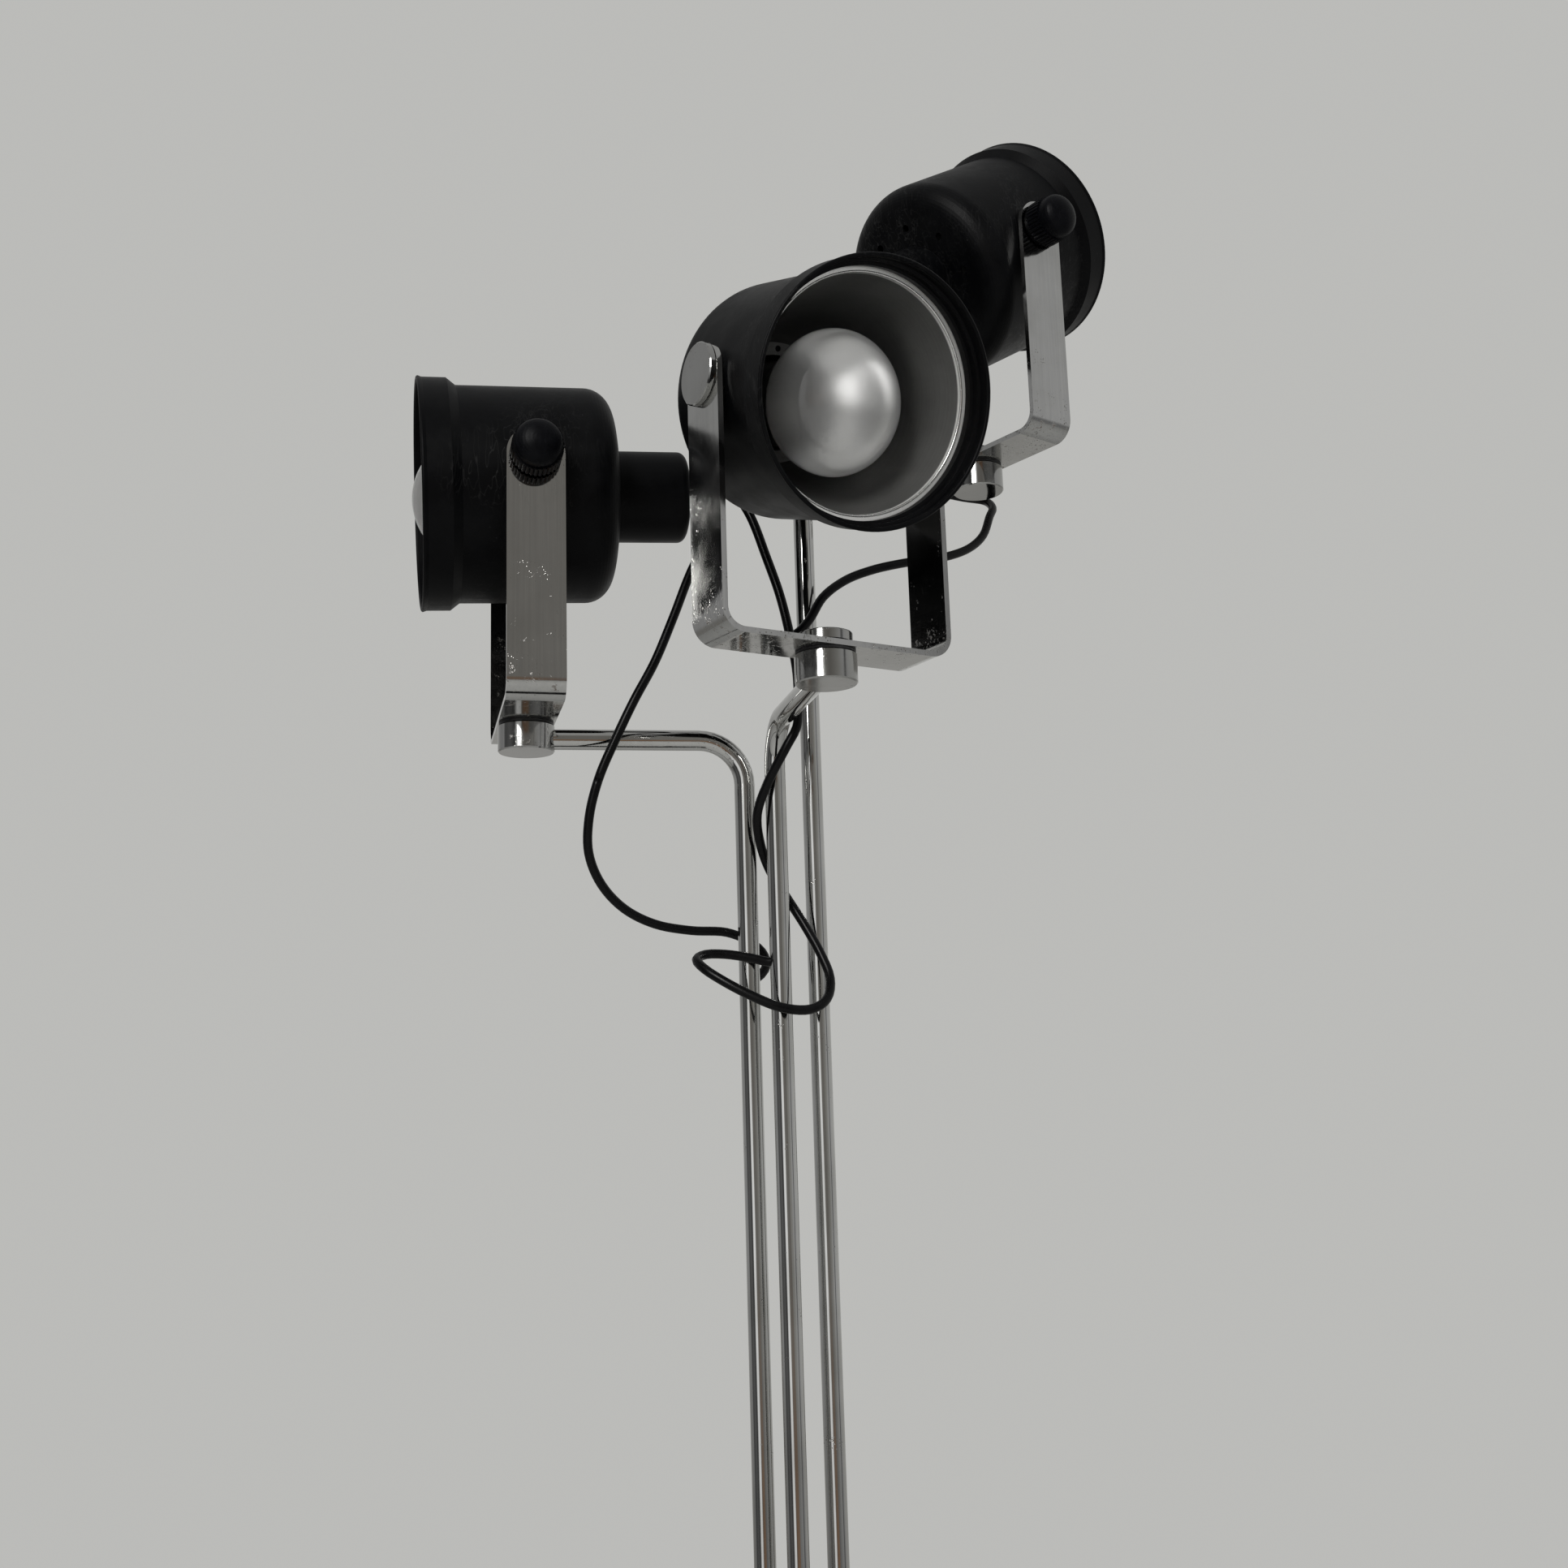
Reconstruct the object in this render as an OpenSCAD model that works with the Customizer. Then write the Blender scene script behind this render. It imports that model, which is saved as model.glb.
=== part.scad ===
// Floor lamp with three spotlights. Each spotlight is a black can in a chrome
// yoke that swivels on its own bent tube; the three tubes stand in one round,
// weighted base. Millimetres, Z up, origin on the floor under the base centre.
// The photographed side faces -Y. Each can points along +X in its own frame.

/* [Base] */
// Diameter of the base cover
base_d = 280; // [220:5:340]
// Height of the base cover's flat top above the floor
base_h = 28; // [24:1:45]
// Sheet thickness of the base cover
cover_wall = 1.5; // [1:0.25:2.5]
// Radius of the rounded edge of the base cover
cover_round = 9; // [5:1:14]
// Thickness of the rubber pad under the base
pad_t = 3; // [2:0.5:5]
// Length of the sleeve at the foot of each tube
collar_h = 9; // [5:1:20]

/* [Posts] */
// Outer diameter of the bent tubes
tube_d = 10; // [9:0.5:11]
// Wall thickness of the tubes
tube_wall = 1; // [0.8:0.1:1.5]
// Centre radius of the bend at the top of each tube
bend_r = 22; // [16:1:30]
// Horizontal reach from a tube's centre to its boss's centre
arm_reach = 105; // [95:1:130]
// Height of the left arm's centre line
arm_z_left = 1166; // [1150:1:1175]
// Height of the middle arm's centre line
arm_z_middle = 1171; // [1155:1:1180]
// Height of the right arm's centre line
arm_z_right = 1317; // [1300:1:1340]
// Direction of the left arm, in degrees from +X
arm_dir_left = 190; // [186:1:194]
// Direction of the middle arm, in degrees from +X
arm_dir_middle = -77; // [-81:1:-73]
// Direction of the right arm, in degrees from +X
arm_dir_right = 25; // [21:1:29]

/* [Swivel] */
// Diameter of the boss at the end of each arm
boss_d = 27; // [24:0.5:32]
// Height of the boss
boss_h = 13; // [12:0.5:18]
// Diameter of the swivel screw's shank
swivel_d = 8; // [6:0.5:9]
// Diameter of the swivel screw's flat cap
cap_d = 24; // [18:0.5:26]
// Thickness of the swivel screw's flat cap
cap_h = 4.5; // [3:0.5:7]
// Thickness of the friction washer under the yoke
friction_t = 1; // [0.5:0.25:2]
// Thickness of the washer under the cap
cap_washer_t = 0.8; // [0.5:0.1:1.5]

/* [Yoke] */
// Width of the yoke's flat strap
strap_w = 27; // [22:0.5:32]
// Thickness of the yoke's flat strap
strap_t = 2.5; // [2:0.25:3]
// Height of the tilt axis above the strap's upper face
pivot_h = 112.5; // [102:0.5:125]
// Inner radius of the yoke's two bends
strap_bend = 8; // [4:0.5:12]
// Gap between the can's side and each yoke arm
side_gap = 1.6; // [1.2:0.1:3]

/* [Can] */
// Diameter of the can's body
can_d = 105; // [98:1:112]
// Diameter of the can's front flange
flange_d = 112; // [108:1:120]
// Length of the front flange's straight part
flange_len = 14; // [8:1:20]
// Length of the cone from the flange down to the body
flange_cone = 4.5; // [2:0.5:8]
// Distance from the tilt axis to the front of the rim
can_front = 52; // [46:1:58]
// Distance from the tilt axis back to the can's flat end
can_back = 41; // [36:1:48]
// Radius of the can's rounded rear edge
can_round = 13; // [8:0.5:16]
// Sheet thickness of the can
can_wall = 1.2; // [0.8:0.1:1.5]
// Diameter of the neck behind the can
neck_d = 45; // [42:0.5:52]
// Distance from the tilt axis back to the neck's closed end
neck_back = 79; // [74:1:84]
// Number of vent holes in the can's flat end
vent_count = 9; // [6:1:12]
// Diameter of the vent holes
vent_d = 4; // [2:0.5:5]
// Radius of the ring of vent holes
vent_ring = 32; // [30:0.5:34]

/* [Reflector] */
// Width of the reflector's front lip
lip_w = 2.5; // [2:0.5:5]
// Distance from the tilt axis forward to the reflector's lip
lip_x = 38; // [32:1:42]
// Radius of the opening at the reflector's deep end
deep_r = 21.5; // [20:0.5:22]
// Width of the ring around the reflector's deep end
deep_ring = 5.5; // [4:0.5:7]
// Sheet thickness of the reflector
reflector_t = 0.8; // [0.5:0.1:1.2]

/* [Tilt fittings] */
// Diameter of the pivot pins
pivot_d = 8; // [6:0.5:9]
// Diameter of the chrome pivot disc
disc_d = 27; // [20:0.5:32]
// Thickness of the chrome pivot disc
disc_t = 3; // [2:0.5:5]
// Diameter of the tilt knob's knurled band
knob_d = 24; // [18:0.5:30]
// Length of the tilt knob from its seat to its crown
knob_len = 20; // [16:0.5:26]
// Length of the knurled band
knurl_len = 8; // [4:0.5:10]
// Diameter of the tilt knob's smooth crown
crown_d = 22; // [18:0.5:24]
// Number of grooves round the knurled band
knurl_count = 36; // [24:1:48]
// Depth of the grooves in the knurled band
knurl_depth = 0.7; // [0.3:0.1:1]

/* [Lamp] */
// Outer diameter of the lampholder
holder_d = 38; // [34:0.5:40]
// Length of the lampholder
holder_len = 37; // [34:0.5:37.5]
// Diameter of the bulb's metal cap
lamp_cap_d = 26.2; // [25:0.1:27]
// How far the bulb and its holder sag, in degrees
lamp_sag = 2; // [0:0.5:3]

/* [Cords] */
// Diameter of the cords between the heads and the tubes
cord_d = 4.5; // [3:0.5:5]

/* [Hidden] */
$fn = 96;

// Values for the left, the middle and the right spotlight
post_xy = [[-16, 0], [-1, -10], [17, 10]];
arm_z = [arm_z_left, arm_z_middle, arm_z_right];
arm_dir = [arm_dir_left, arm_dir_middle, arm_dir_right];
pan = [193.5, -59.5, 37.5];
tilt = [-2.5, -19, 31.5];
knob_side = [1, 1, -1];
bulb_r = [30, 31.5, 31.5];
bulb_front = [55, 37, 37];
bulb_crown = [28, 21, 21];
hole_z = [1051, 1057, 1211];
hole_dir = [50, 176, 215];
vent_turn = 145;

// Clearances
run_gap = 0.05;
face_gap = 0.1;
seat_gap = 0.05;

// Places worked out from the sizes above
boss_xy = [for (i = [0:2]) post_xy[i] + arm_reach * [cos(arm_dir[i]), sin(arm_dir[i])]];
boss_top = [for (i = [0:2]) arm_z[i] + boss_h / 2];
strap_z = [for (i = [0:2]) boss_top[i] + friction_t + 2 * face_gap];
pivot = [for (i = [0:2]) [boss_xy[i].x, boss_xy[i].y, strap_z[i] + strap_t + pivot_h]];
can_r = can_d / 2;
arm_in = can_r + side_gap;
arm_out = arm_in + strap_t;
tube_r = tube_d / 2;
tube_bore = tube_r - tube_wall;
socket_depth = 7;
boss_edge = 0.6;
screw_r = swivel_d / 2;
screw_depth = 9;
cap_edge = 0.8;
washer_inset = 0.5;
neck_r = neck_d / 2;
neck_bore = neck_r - can_wall;
can_floor = can_wall - can_back;
neck_lip_t = 1.2;
neck_lip_w = 3;
neck_edge = 4;
rim_bead = 1;
rim_out = 0.6;
step_w = 1.2;
step_slope = 0.5;
step_places = [5, 9];
lip_seat = 1;
lip_r = can_r - can_wall + lip_seat;
bowl_steps = 16;
bowl_curve = 0.75;
rear_hole_r = 1.4;
rear_hole_turn = 95;
cover_r = base_d / 2;
cover_foot = 1.5;
weight_r = cover_r - cover_wall - 8.5;
weight_top = base_h - cover_wall;
pad_r = cover_r - cover_wall - 1.5;
pocket_r = 42;
pocket_top = 13;
nut_t = 5;
nut_af = 13.5;
thread_out = 1.5;
collar_r = tube_r + 3;
collar_edge = 1;
gland_z = 12;
gland_r = 4.5;
gland_bore = 3.2;
gland_lip = 1.5;
gland_nose = 7;
gland_dir = 90;
block = [12, 28, 8];
block_hole_r = 1.7;
block_pitch = 7;
duct_w = 12;
pivot_r = pivot_d / 2;
disc_edge = 0.5;
inner_nut_r = 8;
inner_nut_t = 3;
inner_nut_face = sqrt(pow(can_r - can_wall, 2) - pow(inner_nut_r * sin(60), 2)) - seat_gap;
pin_end = inner_nut_face - inner_nut_t - 1;
washer_r = 9;
knob_r = knob_d / 2;
knob_foot_t = 1.5;
knob_foot_r = knob_r - 1.5;
crown_r = crown_d / 2;
crown_side = 3.5;
bush_r = 6.5;
bush_lip = 1.5;
bush_edge = 0.8;
bush_recess = 2;
wire_r = 1.6;
bush_hole_r = 5;
lamp_root = 12.8;
glass_skin = 1;
cap_front = -20;
cap_back = -48;
holder_back = cap_back - 6;
holder_front = holder_back + holder_len;
holder_slope = [6, 8];
holder_edge = 2;
socket_gap = 0.4;
nipple_r = 5;
nipple_bore = 3.3;
nipple_depth = 3.5;
plate_t = 1.5;
plate_gap = 6;
contact_r = 4;
cap_thread = [3.6, 0.7];
wall_end = can_wall - neck_back;
cord_r = cord_d / 2;
cord_sides = 8;
cord_stub = 4;
cord_inset = 3.5;

// Cord routes between the cord bush and the hole in the tube, chosen by hand
route_left = [
    [-30, 2, 1290], [-26, 0, 1282], [-30, -7, 1269], [-39, -14, 1249], [-48, -19, 1224],
    [-57, -23, 1201], [-67, -27, 1181], [-76, -28, 1162], [-84, -27, 1144], [-89, -24, 1126],
    [-90, -18, 1110], [-85, -10, 1096], [-75, -3, 1085], [-61, 4, 1078], [-44, 10, 1075],
    [-27, 14, 1074], [-17, 16, 1070], [-10, 14, 1064], [-8, 10, 1057]
];
route_middle = [
    [-21, -38, 1323], [-26, -31, 1319], [-27, -27, 1309], [-19, -26, 1290], [-9, -28, 1271],
    [-2, -29, 1250], [4, -31, 1230], [8, -31, 1211], [11, -28, 1192], [11, -24, 1174],
    [10, -26, 1166], [5, -26, 1157], [-5, -19, 1140], [-10, -13, 1127], [-9, -5, 1114],
    [-5, 1, 1102], [3, -1, 1088], [11, -6, 1074], [18, -10, 1060], [22, -14, 1048],
    [20, -21, 1038], [12, -28, 1033], [-1, -32, 1034], [-17, -32, 1041], [-29, -30, 1048],
    [-36, -27, 1053], [-40, -20, 1058], [-36, -13, 1061], [-27, -11, 1061], [-15, -10, 1059]
];
route_right = [
    [49, 6, 1388], [46, 7, 1374], [48, 13, 1357], [52, 22, 1341], [59, 35, 1328],
    [68, 48, 1321], [80, 60, 1318], [94, 71, 1317], [107, 77, 1316], [118, 75, 1313],
    [121, 67, 1306], [118, 59, 1298], [113, 51, 1285], [104, 42, 1275], [88, 29, 1266],
    [68, 14, 1259], [50, 3, 1252], [36, -6, 1244], [25, -12, 1234], [18, -15, 1222],
    [12, -17, 1215], [5, -16, 1212], [0, -10, 1211], [1, -3, 1211], [6, 2, 1211]
];

// A route from the bush's recess through the hand-chosen points into the tube
function head_point(i, p) =
    let (c = cos(tilt[i]), s = sin(tilt[i]), x = p.x * c - p.z * s, z = p.x * s + p.z * c)
    pivot[i] + [x * cos(pan[i]) - p.y * sin(pan[i]), x * sin(pan[i]) + p.y * cos(pan[i]), z];
function hole_point(i, r) = [
    post_xy[i].x + r * cos(hole_dir[i]), post_xy[i].y + r * sin(hole_dir[i]), hole_z[i]];
function cord_path(i) = concat(
    [head_point(i, [-neck_back - bush_lip + bush_recess, 0, 0])],
    [head_point(i, [-neck_back - bush_lip - cord_stub, 0, 0])],
    [route_left, route_middle, route_right][i],
    [hole_point(i, tube_r + 1)],
    [hole_point(i, tube_r - cord_inset)]);

// Unit vector, direction of a path and its carried normals
function unit(v) = v / norm(v);
function heading(p, i) = unit(p[min(i + 1, len(p) - 1)] - p[max(i - 1, 0)]);
function square_to(n, t) = unit(n - (n * t) * t);
function first_normal(t) = square_to(abs(t.z) < 0.9 ? [0, 0, 1] : [1, 0, 0], t);
function normals(p, i = 0, found = []) =
    i == len(p) ? found
    : let (t = heading(p, i), n = i == 0 ? first_normal(t) : square_to(found[i - 1], t))
      normals(p, i + 1, concat(found, [n]));

// A list in reverse, and the points of an arc from angle a to angle b
function reversed(p) = [for (k = [len(p) - 1:-1:0]) p[k]];
function arc(cx, cy, r, a, b, steps = 12) =
    [for (k = [0:steps]) let (w = a + (b - a) * k / steps) [cx + r * cos(w), cy + r * sin(w)]];

// A round tube of straight runs along a path
module swept(path, r, sides) {
    n = normals(path);
    rings = [for (i = [0:len(path) - 1], k = [0:sides - 1])
        let (w = 360 * k / sides, t = heading(path, i))
        path[i] + r * (cos(w) * n[i] + sin(w) * cross(t, n[i]))];
    last = (len(path) - 1) * sides;
    walls = [for (i = [0:len(path) - 2], k = [0:sides - 1])
        let (a = i * sides + k, b = i * sides + (k + 1) % sides)
        [a, a + sides, b + sides, b]];
    ends = [[for (k = [0:sides - 1]) k], [for (k = [sides - 1:-1:0]) last + k]];
    polyhedron(points = rings, faces = concat(walls, ends), convexity = 8);
}

// Frames of the moving parts
module at_pivot(i) {
    translate(pivot[i]) rotate([0, 0, pan[i]]) children();
}
module in_head(i) {
    at_pivot(i) rotate([0, -tilt[i], 0]) children();
}
module in_lamp(i) {
    in_head(i) translate([holder_back, 0, 0]) rotate([0, lamp_sag, 0])
        translate([-holder_back, 0, 0]) children();
}
module on_boss(i) {
    translate([boss_xy[i].x, boss_xy[i].y, boss_top[i]]) rotate([0, 0, pan[i]]) children();
}

// A solid of revolution about +X, from an outline of radius and X
module turned(outline) {
    rotate([0, 90, 0]) rotate_extrude() polygon(outline);
}
// A plain pin along +Y, from y0 to y1
module y_pin(r, y0, y1) {
    translate([0, y0, 0]) rotate([-90, 0, 0]) cylinder(r = r, h = y1 - y0);
}
// A pin along the side that carries the knob, or along the other side
module side_pin(i, side, r, y0, y1) {
    mirror([0, side * knob_side[i] > 0 ? 0 : 1, 0]) y_pin(r, y0, y1);
}

// Base
module cover_outline(inset) {
    polygon(concat(
        [[0, cover_foot - (inset > 0 ? 1 : 0)], [cover_r - inset, cover_foot - (inset > 0 ? 1 : 0)]],
        arc(cover_r - cover_round, base_h - cover_round, cover_round - inset, 0, 90),
        [[0, base_h - inset]]));
}
module base_cover() {
    color("#1b1b1d") difference() {
        rotate_extrude($fn = 180) cover_outline(0);
        rotate_extrude($fn = 180) cover_outline(cover_wall);
        for (p = post_xy) translate([p.x, p.y, 0]) cylinder(r = tube_r + seat_gap, h = 2 * base_h);
        rotate([0, 0, gland_dir]) translate([cover_r - 2 * cover_wall, 0, gland_z]) rotate([0, 90, 0])
            cylinder(r = gland_r, h = 4 * cover_wall);
    }
}
module base_weight() {
    color("#5b5b5e") difference() {
        translate([0, 0, pad_t]) cylinder(r = weight_r, h = weight_top - pad_t);
        translate([0, 0, pad_t - 1]) cylinder(r = pocket_r, h = pocket_top - pad_t + 1);
        for (p = post_xy) translate([p.x, p.y, 0]) cylinder(r = tube_r + seat_gap, h = 2 * base_h);
        rotate([0, 0, gland_dir]) translate([0, -duct_w / 2, pad_t - 1])
            cube([cover_r, duct_w, gland_z + duct_w / 2 - pad_t + 1]);
    }
}
module base_pad() {
    color("#26231f") cylinder(r = pad_r, h = pad_t);
}
module post_collars() {
    color("silver") for (p = post_xy) translate([p.x, p.y, base_h]) difference() {
        rotate_extrude() polygon(concat(
            [[0, 0], [collar_r, 0]],
            arc(collar_r - collar_edge, collar_h - collar_edge, collar_edge, 0, 90, 6),
            [[0, collar_h]]));
        translate([0, 0, -1]) cylinder(r = tube_r + seat_gap, h = collar_h + 2);
    }
}
module post_nuts() {
    color("#b9a25a") for (p = post_xy) translate([p.x, p.y, pocket_top - nut_t]) difference() {
        cylinder(r = nut_af / 2 / cos(30), h = nut_t, $fn = 6);
        translate([0, 0, -1]) cylinder(r = tube_r + seat_gap, h = nut_t + 2);
    }
}
module cord_gland() {
    // The cover's wall curves away inside and out, so each lip stands a little off it
    off = 0.2;
    inner = -cover_wall - off;
    wide = gland_r + gland_lip;
    neck = gland_r - seat_gap;
    color("#202020") rotate([0, 0, gland_dir]) translate([cover_r, 0, gland_z]) difference() {
        turned([[0, inner - gland_lip], [wide, inner - gland_lip], [wide, inner], [neck, inner],
            [neck, off], [wide, off], [wide, off + gland_lip], [neck, gland_nose], [0, gland_nose]]);
        rotate([0, 90, 0]) translate([0, 0, -2 * gland_nose]) cylinder(r = gland_bore, h = 4 * gland_nose);
    }
}
module terminal_block() {
    color("ivory") rotate([0, 0, gland_dir]) translate([pocket_r / 2, -block.y / 2, pad_t]) difference() {
        cube(block);
        for (k = [0.5:1:3.5]) translate([-1, k * block_pitch, block.z / 2]) rotate([0, 90, 0])
            cylinder(r = block_hole_r, h = block.x + 2);
    }
}

// Bent tube, from its threaded foot to the boss
module post(i) {
    foot = pocket_top - nut_t - thread_out;
    rise = arm_z[i] - bend_r - foot;
    color("silver") difference() {
        translate([post_xy[i].x, post_xy[i].y, foot]) rotate([0, 0, arm_dir[i]]) difference() {
            post_solid(rise, tube_r, 0);
            post_solid(rise, tube_bore, 1);
        }
        translate(hole_point(i, 0)) rotate([0, 0, hole_dir[i]]) rotate([0, 90, 0])
            cylinder(r = cord_r, h = 2 * tube_d);
    }
}
// Upright, bend and arm in one, r thick, over past each end
module post_solid(rise, r, over) {
    translate([0, 0, -over]) cylinder(r = r, h = rise + over);
    translate([bend_r, 0, rise]) rotate([90, 0, 0]) intersection() {
        rotate_extrude() translate([bend_r, 0]) circle(r = r);
        translate([-2 * bend_r, 0, -tube_d]) cube([2 * bend_r, 2 * bend_r, 2 * tube_d]);
    }
    translate([bend_r, 0, rise + bend_r]) rotate([0, 90, 0])
        cylinder(r = r, h = arm_reach - bend_r - boss_d / 2 + socket_depth + over);
}

// Swivel at the end of the arm
module boss(i) {
    r = boss_d / 2;
    color("silver") difference() {
        translate([boss_xy[i].x, boss_xy[i].y, arm_z[i] - boss_h / 2]) rotate_extrude() polygon([
            [0, 0], [r - boss_edge, 0], [r, boss_edge],
            [r, boss_h - boss_edge], [r - boss_edge, boss_h], [0, boss_h]]);
        translate([post_xy[i].x, post_xy[i].y, arm_z[i]]) rotate([0, 0, arm_dir[i]])
            translate([arm_reach - boss_d, 0, 0]) rotate([0, 90, 0])
            cylinder(r = tube_r + seat_gap, h = r + socket_depth + seat_gap);
        on_boss(i) translate([0, 0, -screw_depth - seat_gap])
            cylinder(r = screw_r + seat_gap, h = screw_depth + 1);
    }
}
module swivel_screw(i) {
    seat = friction_t + strap_t + cap_washer_t + 4 * face_gap;
    color("silver") on_boss(i) {
        translate([0, 0, -screw_depth]) cylinder(r = screw_r, h = screw_depth + seat + 1);
        translate([0, 0, seat]) rotate_extrude() polygon(concat(
            [[0, 0], [cap_d / 2, 0]],
            arc(cap_d / 2 - cap_edge, cap_h - cap_edge, cap_edge, 0, 90, 6),
            [[0, cap_h]]));
    }
}
module swivel_washers(i) {
    color("#17171a") on_boss(i) {
        bore = screw_r + run_gap;
        ring(boss_d / 2 - washer_inset, bore, face_gap, friction_t);
        ring(cap_d / 2 - washer_inset, bore, friction_t + strap_t + 3 * face_gap, cap_washer_t);
    }
}
module ring(outer, bore, z, t) {
    translate([0, 0, z]) difference() {
        cylinder(r = outer, h = t);
        translate([0, 0, -1]) cylinder(r = bore, h = t + 2);
    }
}

// Yoke: one flat strap bent to a U, with rounded ends
module yoke(i) {
    outer = strap_bend + strap_t;
    floor_z = -pivot_h - strap_t;
    half_w = strap_w / 2;
    flat = arm_out - outer;
    color("silver") at_pivot(i) difference() {
        union() {
            translate([-half_w, -flat, floor_z]) cube([strap_w, 2 * flat, strap_t]);
            for (s = [0, 1]) mirror([0, s, 0]) {
                translate([-half_w, arm_in, floor_z + outer]) cube([strap_w, strap_t, -floor_z - outer]);
                y_pin(half_w, arm_in, arm_out);
                translate([-half_w, flat, floor_z + outer]) rotate([0, 90, 0]) intersection() {
                    difference() {
                        cylinder(r = outer, h = strap_w);
                        translate([0, 0, -1]) cylinder(r = strap_bend, h = strap_w + 2);
                    }
                    translate([0, 0, -1]) cube([outer + 1, outer + 1, strap_w + 2]);
                }
            }
        }
        y_pin(pivot_r + run_gap, -arm_out - 1, arm_out + 1);
        translate([0, 0, floor_z - 1]) cylinder(r = screw_r + run_gap, h = strap_t + 2);
    }
}

// Can: spun shell with a stepped front flange and a pierced flat end
module can(i) {
    flange_r = flange_d / 2;
    cone_x = can_front - flange_len;
    body_x = cone_x - flange_cone;
    hole_r = neck_r + seat_gap;
    bead_r = flange_r + rim_out - rim_bead;
    steps_r = [for (k = [0:2]) bead_r - rim_bead - k * step_w];
    steps_x = can_front * [1, 1] - step_places;
    color("#161618") in_head(i) difference() {
        turned(concat(
            [[hole_r, -can_back]],
            arc(can_r - can_round, can_round - can_back, can_round, -90, 0),
            [[can_r, body_x], [flange_r, cone_x], [flange_r, can_front - 2 * rim_bead - rim_out]],
            arc(bead_r, can_front - rim_bead, rim_bead, 0, 180, 10),
            [[steps_r[0], steps_x[0]], [steps_r[1], steps_x[0] - step_slope]],
            [[steps_r[1], steps_x[1]], [steps_r[2], steps_x[1] - step_slope]],
            [[steps_r[2], lip_x + reflector_t + step_slope]],
            [[lip_r + seat_gap, lip_x + reflector_t], [lip_r + seat_gap, lip_x]],
            [[can_r - can_wall, lip_x], [can_r - can_wall, can_round - can_back]],
            arc(can_r - can_round, can_round - can_back, can_round - can_wall, 0, -90),
            [[hole_r, can_floor]]));
        y_pin(pivot_r + seat_gap, -can_d, can_d);
        for (k = [0:vent_count - 1]) rotate([vent_turn + 360 * k / vent_count, 0, 0])
            translate([-can_back - 1, vent_ring, 0]) rotate([0, 90, 0])
            cylinder(r = vent_d / 2, h = can_wall + 2);
    }
}
module neck(i) {
    edge_x = neck_edge - neck_back;
    lip_end = can_floor + neck_lip_t;
    color("#161618") in_head(i) difference() {
        turned(concat(
            [[0, -neck_back]], arc(neck_r - neck_edge, edge_x, neck_edge, -90, 0, 8),
            [[neck_r, can_floor], [neck_r + neck_lip_w, can_floor], [neck_r + neck_lip_w, lip_end]],
            [[neck_bore, lip_end]],
            arc(neck_r - neck_edge, edge_x, neck_edge - can_wall, 0, -90, 8), [[0, wall_end]]));
        rotate([0, -90, 0]) cylinder(r = bush_hole_r, h = neck_back + 1);
    }
}
module reflector(i) {
    x0 = can_floor + neck_lip_t;
    r0 = deep_r + deep_ring;
    r1 = lip_r - lip_w;
    depth = lip_x - x0 - reflector_t;
    inside = [for (k = [0:bowl_steps]) let (u = k / bowl_steps)
        [r0 + (r1 - r0) * pow(u, bowl_curve), x0 + reflector_t + depth * u]];
    outside = [for (p = reversed(inside)) [p.x + reflector_t, max(p.y - reflector_t, x0)]];
    color("#a9aaa8") in_head(i) difference() {
        turned(concat(
            [[deep_r, x0], [deep_r, x0 + reflector_t]], inside,
            [[r1, lip_x + reflector_t], [lip_r, lip_x + reflector_t], [lip_r, lip_x]],
            [[r1 + reflector_t, lip_x]], outside));
        for (k = [0:3]) rotate([rear_hole_turn + 90 * k, 0, 0]) translate([x0 - 1, (deep_r + r0) / 2, 0])
            rotate([0, 90, 0]) cylinder(r = rear_hole_r, h = reflector_t + 2, $fn = 24);
    }
}

// Lampholder, its threaded nipple and the bulb
module lampholder(i) {
    r = holder_d / 2;
    color("#0f0f10") in_lamp(i) difference() {
        turned([[0, holder_back], [r - holder_slope[0], holder_back], [r, holder_back + holder_slope[1]],
            [r, holder_front - holder_edge], [r - holder_edge, holder_front], [0, holder_front]]);
        translate([cap_back, 0, 0]) rotate([0, 90, 0])
            cylinder(r = lamp_cap_d / 2 + socket_gap, h = 2 * holder_len);
        translate([holder_back + nipple_depth, 0, 0]) rotate([0, -90, 0])
            cylinder(r = nipple_r + seat_gap, h = 2 * nipple_depth);
        rotate([0, -90, 0]) cylinder(r = wire_r, h = neck_back);
    }
}
module lamp_nipple(i) {
    // A cross plate that fits the neck, with a short threaded tube into the holder
    plate_x = wall_end + plate_gap;
    tube_x = plate_x + plate_t / 2;
    color("#b9a25a") difference() {
        union() {
            in_head(i) translate([plate_x, 0, 0]) rotate([0, 90, 0])
                cylinder(r = neck_bore - seat_gap, h = plate_t);
            in_lamp(i) translate([tube_x, 0, 0]) rotate([0, 90, 0])
                cylinder(r = nipple_r, h = holder_back + nipple_depth - tube_x);
        }
        in_lamp(i) rotate([0, -90, 0]) cylinder(r = nipple_bore, h = 2 * neck_back);
    }
}
module bulb_cap(i) {
    r = lamp_cap_d / 2;
    color("#c9b37a") in_lamp(i) turned(concat(
        [[0, cap_back], [contact_r, cap_back], [r - contact_r, cap_back + contact_r]],
        [for (k = [0:11]) [r - (k % 2) * cap_thread[1], cap_back + (2 + k / 2) * cap_thread[0]]],
        [[r, cap_front], [0, cap_front]]));
}
module bulb_glass(i) {
    color("#e9e8e0") in_lamp(i) turned(concat(bulb_outline(i, 0), reversed(bulb_outline(i, glass_skin))));
}
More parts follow.
